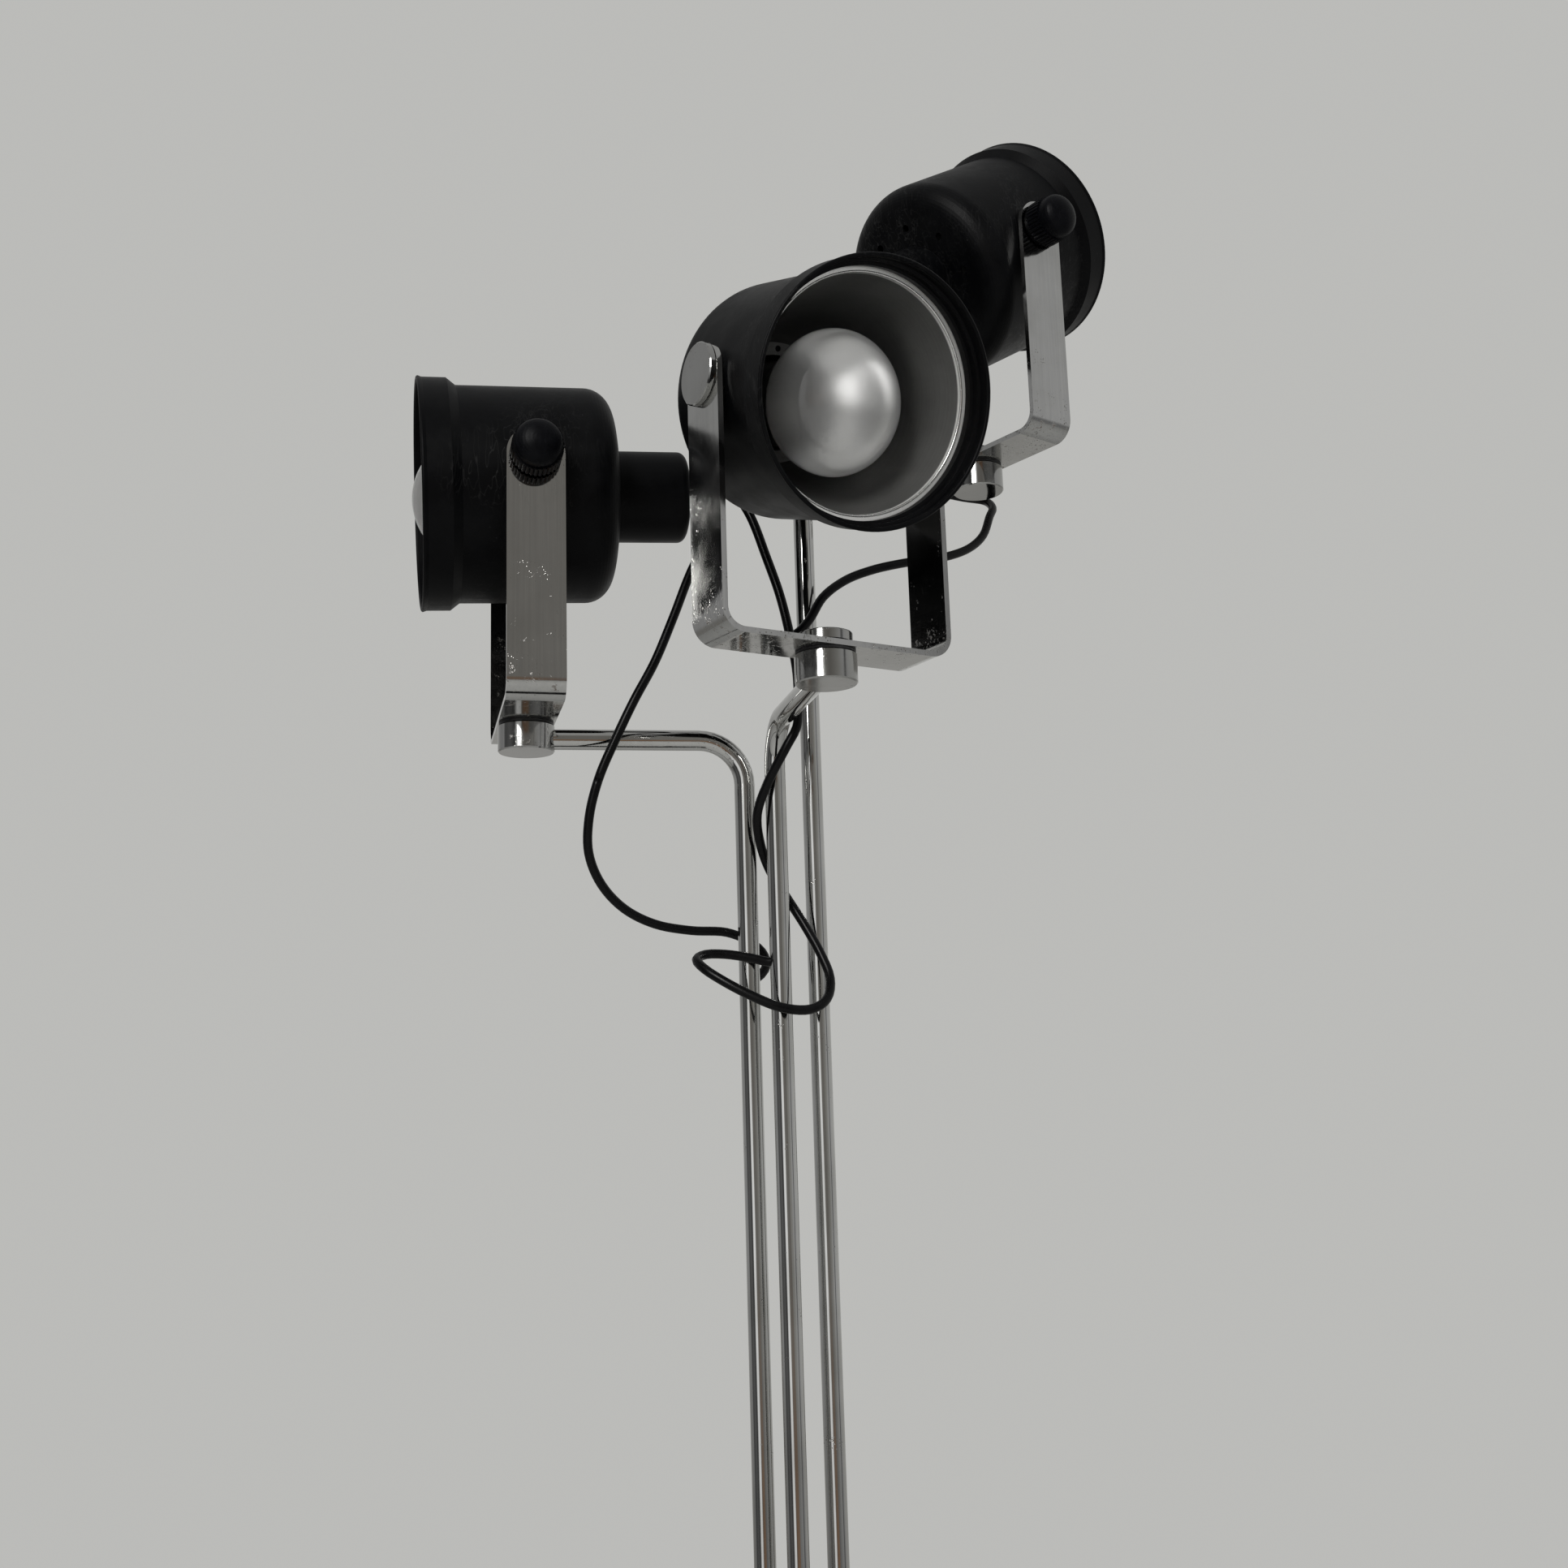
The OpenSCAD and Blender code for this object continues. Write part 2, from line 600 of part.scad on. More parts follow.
// Side of a reflector bulb from its root to its crown, drawn in by the skin
function bulb_outline(i, skin) =
    let (r = bulb_r[i], crown = bulb_crown[i], wide_x = bulb_front[i] - crown, span = wide_x - cap_front)
    concat(
        [for (k = [0:14]) let (u = 1 - k / 14)
            [lamp_root + (r - lamp_root) * (0.5 + 0.5 * cos(180 * u)) - skin, wide_x - span * u]],
        [for (k = [1:12]) let (w = 90 * k / 12)
            [max(0, (r - skin) * cos(w)), wide_x + (crown - skin) * sin(w)]]);

// Rubber bush where the cord leaves the neck
module cord_bush(i) {
    x0 = -neck_back - bush_lip;
    color("#121213") in_head(i) difference() {
        turned([[0, x0], [bush_r - bush_edge, x0], [bush_r, x0 + bush_edge], [bush_r, -neck_back],
            [bush_hole_r - seat_gap, -neck_back], [bush_hole_r - seat_gap, wall_end], [bush_r, wall_end],
            [bush_r, wall_end + bush_lip], [0, wall_end + bush_lip]]);
        translate([x0 + bush_recess, 0, 0]) rotate([0, -90, 0]) cylinder(r = cord_r + seat_gap, h = neck_back);
        translate([-neck_back, 0, 0]) rotate([0, 90, 0]) translate([0, 0, -2 * bush_lip])
            cylinder(r = wire_r, h = neck_back);
    }
}

// Fixed pivot: chrome disc with its pin through the yoke arm into the can
module pivot_disc(i) {
    seat = arm_out + face_gap;
    r = disc_d / 2;
    color("silver") in_head(i) {
        side_pin(i, -1, pivot_r, pin_end, seat + 1);
        mirror([0, knob_side[i] > 0 ? 1 : 0, 0]) translate([0, seat, 0]) rotate([-90, 0, 0])
            rotate_extrude() polygon([[0, 0], [r - disc_edge, 0], [r, disc_edge],
                [r, disc_t - disc_edge], [r - disc_edge, disc_t], [0, disc_t]]);
    }
}
// Spacer washers between can and yoke, and the two nuts inside the can
module pivot_fittings(i) {
    color("#8d8d90") in_head(i) for (side = [-1, 1]) mirror([0, side > 0 ? 0 : 1, 0]) difference() {
        union() {
            y_pin(washer_r, can_r, arm_in - face_gap);
            translate([0, inner_nut_face - inner_nut_t, 0]) rotate([-90, 0, 0])
                cylinder(r = inner_nut_r, h = inner_nut_t, $fn = 6);
        }
        y_pin(pivot_r + run_gap, 0, can_d);
    }
}
// Tilt knob: smooth crown over a knurled band and a plain foot, with its screw
module tilt_knob(i) {
    seat = arm_out + face_gap;
    band_end = knob_foot_t + knurl_len;
    dome_z = band_end + crown_side;
    dome_h = knob_len - dome_z;
    color("#101012") in_head(i) {
        side_pin(i, 1, pivot_r, pin_end, seat + 1);
        mirror([0, knob_side[i] > 0 ? 0 : 1, 0]) translate([0, seat, 0]) rotate([-90, 0, 0]) {
            difference() {
                translate([0, 0, knob_foot_t]) cylinder(r = knob_r, h = knurl_len);
                for (k = [0:knurl_count - 1]) rotate([0, 0, 360 * k / knurl_count])
                    translate([knob_r, 0, 0]) cylinder(r = knurl_depth, h = 2 * knurl_len, $fn = 4);
            }
            rotate_extrude() polygon(concat(
                [[0, 0], [knob_foot_r, 0], [knob_foot_r, knob_foot_t + 1], [crown_r, knob_foot_t + 1]],
                [for (k = [0:10]) let (w = 9 * k) [crown_r * cos(w), dome_z + dome_h * sin(w)]]));
        }
    }
}

module cord(i) {
    color("#0c0c0d") swept(cord_path(i), cord_r, cord_sides);
}

base_cover();
base_weight();
base_pad();
post_collars();
post_nuts();
cord_gland();
terminal_block();
post(0);  // post_left
post(1);  // post_middle
post(2);  // post_right
boss(0);  // boss_left
boss(1);  // boss_middle
boss(2);  // boss_right
swivel_screw(0);  // swivel_screw_left
swivel_screw(1);  // swivel_screw_middle
swivel_screw(2);  // swivel_screw_right
swivel_washers(0);  // swivel_washers_left
swivel_washers(1);  // swivel_washers_middle
swivel_washers(2);  // swivel_washers_right
yoke(0);  // yoke_left
yoke(1);  // yoke_middle
yoke(2);  // yoke_right
can(0);  // can_left
can(1);  // can_middle
can(2);  // can_right
neck(0);  // neck_left
neck(1);  // neck_middle
neck(2);  // neck_right
reflector(0);  // reflector_left
reflector(1);  // reflector_middle
reflector(2);  // reflector_right
lampholder(0);  // lampholder_left
lampholder(1);  // lampholder_middle
lampholder(2);  // lampholder_right
lamp_nipple(0);  // lamp_nipple_left
lamp_nipple(1);  // lamp_nipple_middle
lamp_nipple(2);  // lamp_nipple_right
bulb_cap(0);  // bulb_cap_left
bulb_cap(1);  // bulb_cap_middle
bulb_cap(2);  // bulb_cap_right
bulb_glass(0);  // bulb_glass_left
bulb_glass(1);  // bulb_glass_middle
bulb_glass(2);  // bulb_glass_right
cord_bush(0);  // cord_bush_left
cord_bush(1);  // cord_bush_middle
cord_bush(2);  // cord_bush_right
pivot_disc(0);  // pivot_disc_left
pivot_disc(1);  // pivot_disc_middle
pivot_disc(2);  // pivot_disc_right
pivot_fittings(0);  // pivot_fittings_left
pivot_fittings(1);  // pivot_fittings_middle
pivot_fittings(2);  // pivot_fittings_right
tilt_knob(0);  // tilt_knob_left
tilt_knob(1);  // tilt_knob_middle
tilt_knob(2);  // tilt_knob_right
cord(0);  // cord_left
cord(1);  // cord_middle
cord(2);  // cord_right
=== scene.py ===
import math

import bpy
from mathutils import Matrix, Vector


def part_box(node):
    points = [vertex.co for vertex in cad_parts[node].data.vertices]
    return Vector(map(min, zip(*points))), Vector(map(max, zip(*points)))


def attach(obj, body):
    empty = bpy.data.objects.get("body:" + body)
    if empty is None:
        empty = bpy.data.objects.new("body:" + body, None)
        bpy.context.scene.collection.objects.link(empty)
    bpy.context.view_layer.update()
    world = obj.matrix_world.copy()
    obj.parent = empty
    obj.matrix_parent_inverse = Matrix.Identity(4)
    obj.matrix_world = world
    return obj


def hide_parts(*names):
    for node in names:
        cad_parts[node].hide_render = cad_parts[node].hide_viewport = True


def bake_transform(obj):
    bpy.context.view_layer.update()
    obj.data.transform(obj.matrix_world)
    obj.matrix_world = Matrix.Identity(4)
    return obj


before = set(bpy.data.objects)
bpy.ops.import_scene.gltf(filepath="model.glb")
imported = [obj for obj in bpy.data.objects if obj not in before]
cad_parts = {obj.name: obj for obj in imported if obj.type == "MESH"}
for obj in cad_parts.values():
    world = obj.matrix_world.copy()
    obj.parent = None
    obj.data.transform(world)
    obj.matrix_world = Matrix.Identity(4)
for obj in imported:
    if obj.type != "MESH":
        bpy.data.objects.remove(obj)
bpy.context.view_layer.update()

scene = bpy.context.scene

MM_PER_METRE = 1000

# Camera: the photograph's place and lens, in metres and degrees

CAMERA_PLACE = (0.003214, -0.819276, 0.985)
CAMERA_PITCH = 10.98
CAMERA_ROLL = 1.77
PHOTO_PIXELS = 1932
FOCAL_PIXELS = 2112.951
SENSOR_WIDTH = 36.0
NEAREST_SEEN = 0.02
FARTHEST_SEEN = 100
LEVEL_PITCH = 90

camera_data = bpy.data.cameras.new("camera")
camera_data.sensor_width = SENSOR_WIDTH
camera_data.lens = SENSOR_WIDTH * FOCAL_PIXELS / PHOTO_PIXELS
camera_data.clip_start = NEAREST_SEEN
camera_data.clip_end = FARTHEST_SEEN
camera = bpy.data.objects.new("camera", camera_data)
camera.location = CAMERA_PLACE
upward = Matrix.Rotation(math.radians(LEVEL_PITCH + CAMERA_PITCH), 3, "X")
rolled = Matrix.Rotation(math.radians(-CAMERA_ROLL), 3, "Z")
camera.rotation_euler = (upward @ rolled).to_euler()
scene.collection.objects.link(camera)
scene.camera = camera

# Heads: each one's pivot in metres, and its turn and tilt in degrees, as in the solids

HEADS = {
    "left": {"pivot": (-0.119405, -0.018233, 1.2887), "pan": 193.5, "tilt": -2.5},
    "middle": {"pivot": (0.022620, -0.112309, 1.2937), "pan": -59.5, "tilt": -19.0},
    "right": {"pivot": (0.112162, 0.054375, 1.4397), "pan": 37.5, "tilt": 31.5},
}


def head_point(side, along, across=0.0, up=0.0):
    """A point given along, across and above a head's own axis, in the row frame."""
    head = HEADS[side]
    tilt = math.radians(head["tilt"])
    pan = math.radians(head["pan"])
    local = Vector((
        along * math.cos(tilt) - up * math.sin(tilt),
        across,
        along * math.sin(tilt) + up * math.cos(tilt),
    ))
    return Vector(head["pivot"]) + Matrix.Rotation(pan, 3, "Z") @ local


def head_axis(side):
    """The direction in which a head shines."""
    return (head_point(side, 1.0) - head_point(side, 0.0)).normalized()


# Cords: each leaves its head's bush, hangs in loops and goes into a post

CORD_DIAMETER = 0.0045
CORD_SIDES = 14
CORD_STEP = 0.003
BUSH_DEPTH_POINT = -0.0785
BUSH_END_POINT = -0.0845
TUBE_RADIUS = 0.005
HOLE_LEAD = 0.001
HOLE_DEPTH = 0.0035
BUSH_POINTS = 2
KNOT_POWER = 0.5
SHORTEST_SPAN = 1e-6
FEWEST_STEPS = 2
WALL_CORNERS = 4

# Each route in millimetres: its points, the point where its upper half ends, the middle of its post,
# and the height and heading of the hole that it enters
CORD_ROUTES = {
    "left": {
        "points": [
            (-30, 2, 1290), (-26, 0, 1282), (-30, -7, 1269), (-39, -14, 1249), (-48, -19, 1224),
            (-57, -23, 1201), (-67, -27, 1181), (-76, -28, 1162), (-84, -27, 1144), (-89, -24, 1126),
            (-90, -18, 1110), (-85, -10, 1096), (-75, -3, 1085), (-61, 4, 1078), (-44, 10, 1075),
            (-27, 14, 1074), (-17, 16, 1070), (-10, 14, 1064), (-8, 10, 1057),
        ],
        "split": 8,
        "post": (-16, 0),
        "hole": (1051, 50),
    },
    "middle": {
        "points": [
            (-21, -38, 1323), (-26, -31, 1319), (-27, -27, 1309), (-19, -26, 1290), (-9, -28, 1271),
            (-2, -29, 1250), (4, -31, 1230), (8, -31, 1211), (11, -28, 1192), (11, -24, 1174),
            (10, -26, 1166), (5, -26, 1157), (-5, -19, 1140), (-10, -13, 1127), (-9, -5, 1114),
            (-5, 1, 1102), (3, -1, 1088), (11, -6, 1074), (18, -10, 1060), (22, -14, 1048),
            (20, -21, 1038), (12, -28, 1033), (-1, -32, 1034), (-17, -32, 1041), (-29, -30, 1048),
            (-36, -27, 1053), (-40, -20, 1058), (-36, -13, 1061), (-27, -11, 1061), (-15, -10, 1059),
        ],
        "split": 8,
        "post": (-1, -10),
        "hole": (1057, 176),
    },
    "right": {
        "points": [
            (49, 6, 1388), (46, 7, 1374), (48, 13, 1357), (52, 22, 1341), (59, 35, 1328),
            (68, 48, 1321), (80, 60, 1318), (94, 71, 1317), (107, 77, 1316), (118, 75, 1313),
            (121, 67, 1306), (118, 59, 1298), (113, 51, 1285), (104, 42, 1275), (88, 29, 1266),
            (68, 14, 1259), (50, 3, 1252), (36, -6, 1244), (25, -12, 1234), (18, -15, 1222),
            (12, -17, 1215), (5, -16, 1212), (0, -10, 1211), (1, -3, 1211), (6, 2, 1211),
        ],
        "split": 6,
        "post": (17, 10),
        "hole": (1211, 215),
    },
}


def hole_point(route, depth):
    """A point on the line of a post's side hole, at that distance from the post's axis."""
    height, turn = route["hole"]
    angle = math.radians(turn)
    return Vector((
        route["post"][0] / MM_PER_METRE + depth * math.cos(angle),
        route["post"][1] / MM_PER_METRE + depth * math.sin(angle),
        height / MM_PER_METRE,
    ))


def cord_points(side):
    """The whole centreline of one cord, in metres, from its bush to its post."""
    route = CORD_ROUTES[side]
    start = [head_point(side, BUSH_DEPTH_POINT), head_point(side, BUSH_END_POINT)]
    middle = [Vector(point) / MM_PER_METRE for point in route["points"]]
    end = [hole_point(route, TUBE_RADIUS + HOLE_LEAD), hole_point(route, TUBE_RADIUS - HOLE_DEPTH)]
    return start + middle + end


def smooth_line(points, step):
    """Points at even steps on one smooth curve through the given points, and each one's control index."""
    padded = [points[0] * 2 - points[1], *points, points[-1] * 2 - points[-2]]
    line = []
    index = []
    for i in range(1, len(padded) - 2):
        a, b, c, d = padded[i - 1:i + 3]
        knots = [0.0]
        for p, q in ((a, b), (b, c), (c, d)):
            knots.append(knots[-1] + max((q - p).length, SHORTEST_SPAN) ** KNOT_POWER)
        pieces = max(FEWEST_STEPS, round((c - b).length / step))
        for n in range(pieces):
            t = knots[1] + (knots[2] - knots[1]) * n / pieces
            ab = a.lerp(b, (t - knots[0]) / (knots[1] - knots[0]))
            bc = b.lerp(c, (t - knots[1]) / (knots[2] - knots[1]))
            cd = c.lerp(d, (t - knots[2]) / (knots[3] - knots[2]))
            abc = ab.lerp(bc, (t - knots[0]) / (knots[2] - knots[0]))
            bcd = bc.lerp(cd, (t - knots[1]) / (knots[3] - knots[1]))
            line.append(abc.lerp(bcd, (t - knots[1]) / (knots[2] - knots[1])))
            index.append(i - 1)
    line.append(points[-1].copy())
    index.append(len(points) - 1)
    return line, index


def tube_mesh(name, line, radius, sides):
    """A closed round tube along a line, with frames that don't twist."""
    vertices = []
    faces = []
    tangents = []
    for i in range(len(line)):
        before = line[max(i - 1, 0)]
        after = line[min(i + 1, len(line) - 1)]
        tangents.append((after - before).normalized())
    normal = tangents[0].orthogonal().normalized()
    for i, (centre, tangent) in enumerate(zip(line, tangents)):
        normal = (normal - tangent * normal.dot(tangent)).normalized()
        across = tangent.cross(normal)
        for n in range(sides):
            angle = 2 * math.pi * n / sides
            vertices.append(centre + (normal * math.cos(angle) + across * math.sin(angle)) * radius)
        if i:
            for n in range(sides):
                following = (n + 1) % sides
                low = (i - 1) * sides
                high = i * sides
                faces.append((low + n, low + following, high + following, high + n))
    faces.append(tuple(reversed(range(sides))))
    last = (len(line) - 1) * sides
    faces.append(tuple(last + n for n in range(sides)))
    mesh = bpy.data.meshes.new(name)
    mesh.from_pydata([tuple(v) for v in vertices], [], faces)
    for polygon in mesh.polygons:
        polygon.use_smooth = len(polygon.vertices) == WALL_CORNERS
    mesh.update()
    piece = bpy.data.objects.new(name, mesh)
    scene.collection.objects.link(piece)
    return piece


cord_pieces = []
for side, route in CORD_ROUTES.items():
    points = cord_points(side)
    line, index = smooth_line(points, CORD_STEP)
    cut = index.index(route["split"] + BUSH_POINTS)
    parts = {"upper": line[:cut + 1], "lower": line[cut:]}
    for part, stretch in parts.items():
        piece = tube_mesh(f"cord_{part}_{side}", stretch, CORD_DIAMETER / 2, CORD_SIDES)
        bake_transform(piece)
        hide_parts(f"cord_{side}")
        cord_pieces.append(piece)

# Bulbs: smooth glass over the same outline as the solids, in millimetres

BULBS = {
    "left": {"radius": 30.0, "front": 55.0, "crown": 28.0},
    "middle": {"radius": 31.5, "front": 37.0, "crown": 21.0},
    "right": {"radius": 31.5, "front": 37.0, "crown": 21.0},
}
BULB_ROOT_RADIUS = 12.8
BULB_ROOT_PLACE = -20.0
BULB_SAG = 2.0
HOLDER_BACK = -54.0
BULB_SEGMENTS = 96
BULB_SIDE_RINGS = 36
BULB_CROWN_RINGS = 28
SILVER_FROM_RING = 4
FROST_FROM_RING = 26
# The neck rings are painted near-black: painted shade for the dark deep inside the bulb's neck.
FROSTED, SILVERED, NECK_PAINTED_SHADE = range(3)


def bulb_outline(bulb):
    """Radius and place along the axis, from the root to just short of the crown's tip."""
    wide = bulb["front"] - bulb["crown"]
    span = wide - BULB_ROOT_PLACE
    outline = []
    for n in range(BULB_SIDE_RINGS + 1):
        u = 1 - n / BULB_SIDE_RINGS
        swell = 0.5 + 0.5 * math.cos(math.pi * u)
        outline.append((BULB_ROOT_RADIUS + (bulb["radius"] - BULB_ROOT_RADIUS) * swell, wide - span * u))
    for n in range(1, BULB_CROWN_RINGS):
        angle = math.pi / 2 * n / BULB_CROWN_RINGS
        outline.append((bulb["radius"] * math.cos(angle), wide + bulb["crown"] * math.sin(angle)))
    return outline


def bulb_point(side, along, across, up):
    """A point of a bulb, in millimetres of its own axis, which sags a little in its holder."""
    sag = math.radians(BULB_SAG)
    reach = along - HOLDER_BACK
    x = HOLDER_BACK + reach * math.cos(sag) + up * math.sin(sag)
    z = up * math.cos(sag) - reach * math.sin(sag)
    return head_point(side, x / MM_PER_METRE, across / MM_PER_METRE, z / MM_PER_METRE)


def bulb_piece(side):
    """One closed bulb on its head: a neck painted near-black as shade, then a mirrored bowl, then a frosted
    front, by ring.
    """
    bulb = BULBS[side]
    outline = bulb_outline(bulb)
    vertices = []
    faces = []
    for radius, place in outline:
        for n in range(BULB_SEGMENTS):
            angle = 2 * math.pi * n / BULB_SEGMENTS
            vertices.append(bulb_point(side, place, radius * math.cos(angle), radius * math.sin(angle)))
    for row in range(len(outline) - 1):
        for n in range(BULB_SEGMENTS):
            following = (n + 1) % BULB_SEGMENTS
            low = row * BULB_SEGMENTS
            high = low + BULB_SEGMENTS
            faces.append((low + n, low + following, high + following, high + n))
    root = len(vertices)
    vertices.append(bulb_point(side, BULB_ROOT_PLACE, 0, 0))
    vertices.append(bulb_point(side, bulb["front"], 0, 0))
    last = (len(outline) - 1) * BULB_SEGMENTS
    for n in range(BULB_SEGMENTS):
        following = (n + 1) % BULB_SEGMENTS
        faces.append((root, following, n))
        faces.append((root + 1, last + n, last + following))
    mesh = bpy.data.meshes.new(f"bulb_{side}")
    mesh.from_pydata([tuple(v) for v in vertices], [], faces)
    for material in (bulb_front, bulb_silver, bulb_neck):
        mesh.materials.append(material)
    rings = last // BULB_SEGMENTS
    for polygon in mesh.polygons:
        polygon.use_smooth = True
        ring = polygon.index // BULB_SEGMENTS
        if ring >= rings:
            ring = 0 if root in polygon.vertices else rings
        if ring >= FROST_FROM_RING:
            polygon.material_index = FROSTED
        elif ring >= SILVER_FROM_RING:
            polygon.material_index = SILVERED
        else:
            polygon.material_index = NECK_PAINTED_SHADE
    mesh.update()
    piece = bpy.data.objects.new(f"bulb_{side}", mesh)
    scene.collection.objects.link(piece)
    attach(piece, f"head_{side}")
    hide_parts(f"bulb_glass_{side}")


# Reflector lips: the rounded bead of each reflector's front edge, in metres

LIP_RADIUS = 0.0502
LIP_PLACE = 0.0386
LIP_BEAD = 0.0005
LIP_SEGMENTS = 144
LIP_SIDES = 10


def lip_piece(side):
    """One thin bright ring round the head's own axis, at the reflector's front edge."""
    vertices = []
    faces = []
    for n in range(LIP_SEGMENTS):
        turn = 2 * math.pi * n / LIP_SEGMENTS
        for k in range(LIP_SIDES):
            angle = 2 * math.pi * k / LIP_SIDES
            radius = LIP_RADIUS + LIP_BEAD * math.cos(angle)
            along = LIP_PLACE + LIP_BEAD * math.sin(angle)
            vertices.append(head_point(side, along, radius * math.cos(turn), radius * math.sin(turn)))
            low = n * LIP_SIDES
            high = (n + 1) % LIP_SEGMENTS * LIP_SIDES
            following = (k + 1) % LIP_SIDES
            faces.append((low + k, high + k, high + following, low + following))
    mesh = bpy.data.meshes.new(f"reflector_lip_{side}")
    mesh.from_pydata([tuple(v) for v in vertices], [], faces)
    for polygon in mesh.polygons:
        polygon.use_smooth = True
    mesh.update()
    piece = bpy.data.objects.new(f"reflector_lip_{side}", mesh)
    scene.collection.objects.link(piece)
    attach(piece, f"head_{side}")
    return piece


lips = [lip_piece(side) for side in HEADS]

# Floor, world and lamps: a plain pale studio

WALL_GREY = (0.50, 0.50, 0.485, 1)
FLOOR_RADIUS = 2.9
FLOOR_CORNERS = 96
FLOOR_LIGHT = (0.50, 0.50, 0.488, 1)
FLOOR_DARK = (0.47, 0.47, 0.458, 1)
LAMPS = [
    {
        "name": "key_lamp", "place": (-0.90, -2.30, 2.35), "target": (0, 0, 1.25), "size": (0.75, 1.2),
        "power": 36, "colour": (1.0, 0.99, 0.97), "mirrored": True,
    },
    {
        "name": "top_lamp", "place": (0.1, 0.3, 3.1), "target": (0, 0, 1.2), "size": (1.6, 1.6),
        "power": 22, "colour": (0.97, 0.98, 1.0), "mirrored": False,
    },
    {
        "name": "front_lamp", "place": (1.5, -1.9, 1.3), "target": (0, 0, 1.25), "size": (1.4, 1.6),
        "power": 12, "colour": (1.0, 0.99, 0.98), "mirrored": False,
    },
]


def area_light(name, place, target, size, power, colour, mirrored):
    """A soft rectangular lamp at a place, aimed at a target, that shiny things show or don't."""
    data = bpy.data.lights.new(name, "AREA")
    data.shape = "RECTANGLE"
    data.size = size[0]
    data.size_y = size[1]
    data.energy = power
    data.color = colour
    lamp = bpy.data.objects.new(name, data)
    lamp.location = place
    lamp.rotation_euler = (Vector(target) - Vector(place)).to_track_quat("-Z", "Y").to_euler()
    lamp.visible_glossy = mirrored
    scene.collection.objects.link(lamp)


for lamp in LAMPS:
    area_light(**lamp)


class Nodes:
    """Adds shader nodes to one tree, with a short call for each kind."""

    def __init__(self, tree):
        self.tree = tree

    def add(self, kind, inputs=(), **settings):
        """One node, with its settings and the values or links of its inputs."""
        node = self.tree.nodes.new(kind)
        for key, value in settings.items():
            setattr(node, key, value)
        for key, value in dict(inputs).items():
            self.put(node.inputs[key], value)
        return node

    def put(self, socket, value):
        """Links another socket to this one, or gives it a plain value."""
        if isinstance(value, bpy.types.NodeSocket):
            self.tree.links.new(value, socket)
        else:
            socket.default_value = value

    def math(self, kind, a, b=0.0, clamp=False):
        """The result of one sum on two values."""
        node = self.add("ShaderNodeMath", {0: a, 1: b}, operation=kind, use_clamp=clamp)
        return node.outputs[0]

    def range(self, value, low, high, to_low=0.0, to_high=1.0, kind="LINEAR"):
        """A value moved from one range to another and held inside it."""
        inputs = {"Value": value, "From Min": low, "From Max": high, "To Min": to_low, "To Max": to_high}
        node = self.add("ShaderNodeMapRange", inputs, interpolation_type=kind)
        return node.outputs[0]

    def mix(self, factor, a, b, kind="MIX"):
        """Colour a where the factor is 0, colour b where it is 1."""
        node = self.add("ShaderNodeMix", data_type="RGBA", blend_type=kind)
        colours = [socket for socket in node.inputs if socket.type == "RGBA"]
        self.put(node.inputs["Factor"], factor)
        self.put(colours[0], a)
        self.put(colours[1], b)
        return [socket for socket in node.outputs if socket.type == "RGBA"][0]


def grey(value):
    """A neutral colour of that brightness."""
    return (value, value, value, 1)


# World: what the camera sees is plain, and what polished metal mirrors is a room of light and dark bands

CLOUD_SCALE = 1.7
CLOUD_DETAIL = 2.0
CLOUD_MIDDLE = 0.5
CLOUD_SHIFT = 0.12
LOW_STARTS = -0.06
LOW_FULL = -0.30
CEILING_STARTS = 0.45
CEILING_FULL = 0.8
CEILING_GREY = (0.34, 0.34, 0.335, 1)
SOFT_GREY = (0.78, 0.78, 0.77, 1)
SOFT_STRENGTH = 0.45
SEEN_STRENGTH = 1.0
DEGREES_PER_RADIAN = 180 / math.pi

world = bpy.data.worlds.new("studio")
scene.world = world
world.use_nodes = True
world.node_tree.nodes.clear()
w = Nodes(world.node_tree)
direction = w.add("ShaderNodeTexCoord").outputs["Generated"]
look = w.add("ShaderNodeSeparateXYZ", {0: direction}).outputs
heading = w.math("ARCTAN2", look[0], w.math("MULTIPLY", look[1], -1.0))
heading = w.math("MULTIPLY", heading, DEGREES_PER_RADIAN)


def ramp(nodes, value, stops):
    """A colour ramp whose stops are given at plain values, low to high."""
    low = stops[0][0]
    high = stops[-1][0]
    node = nodes.add("ShaderNodeValToRGB", {0: nodes.range(value, low, high)})
    marks = node.color_ramp.elements
    while len(marks) < len(stops):
        marks.new(0.5)
    for mark, (place, colour) in zip(marks, stops):
        mark.position = (place - low) / (high - low)
        mark.color = colour
    return node.outputs[0]


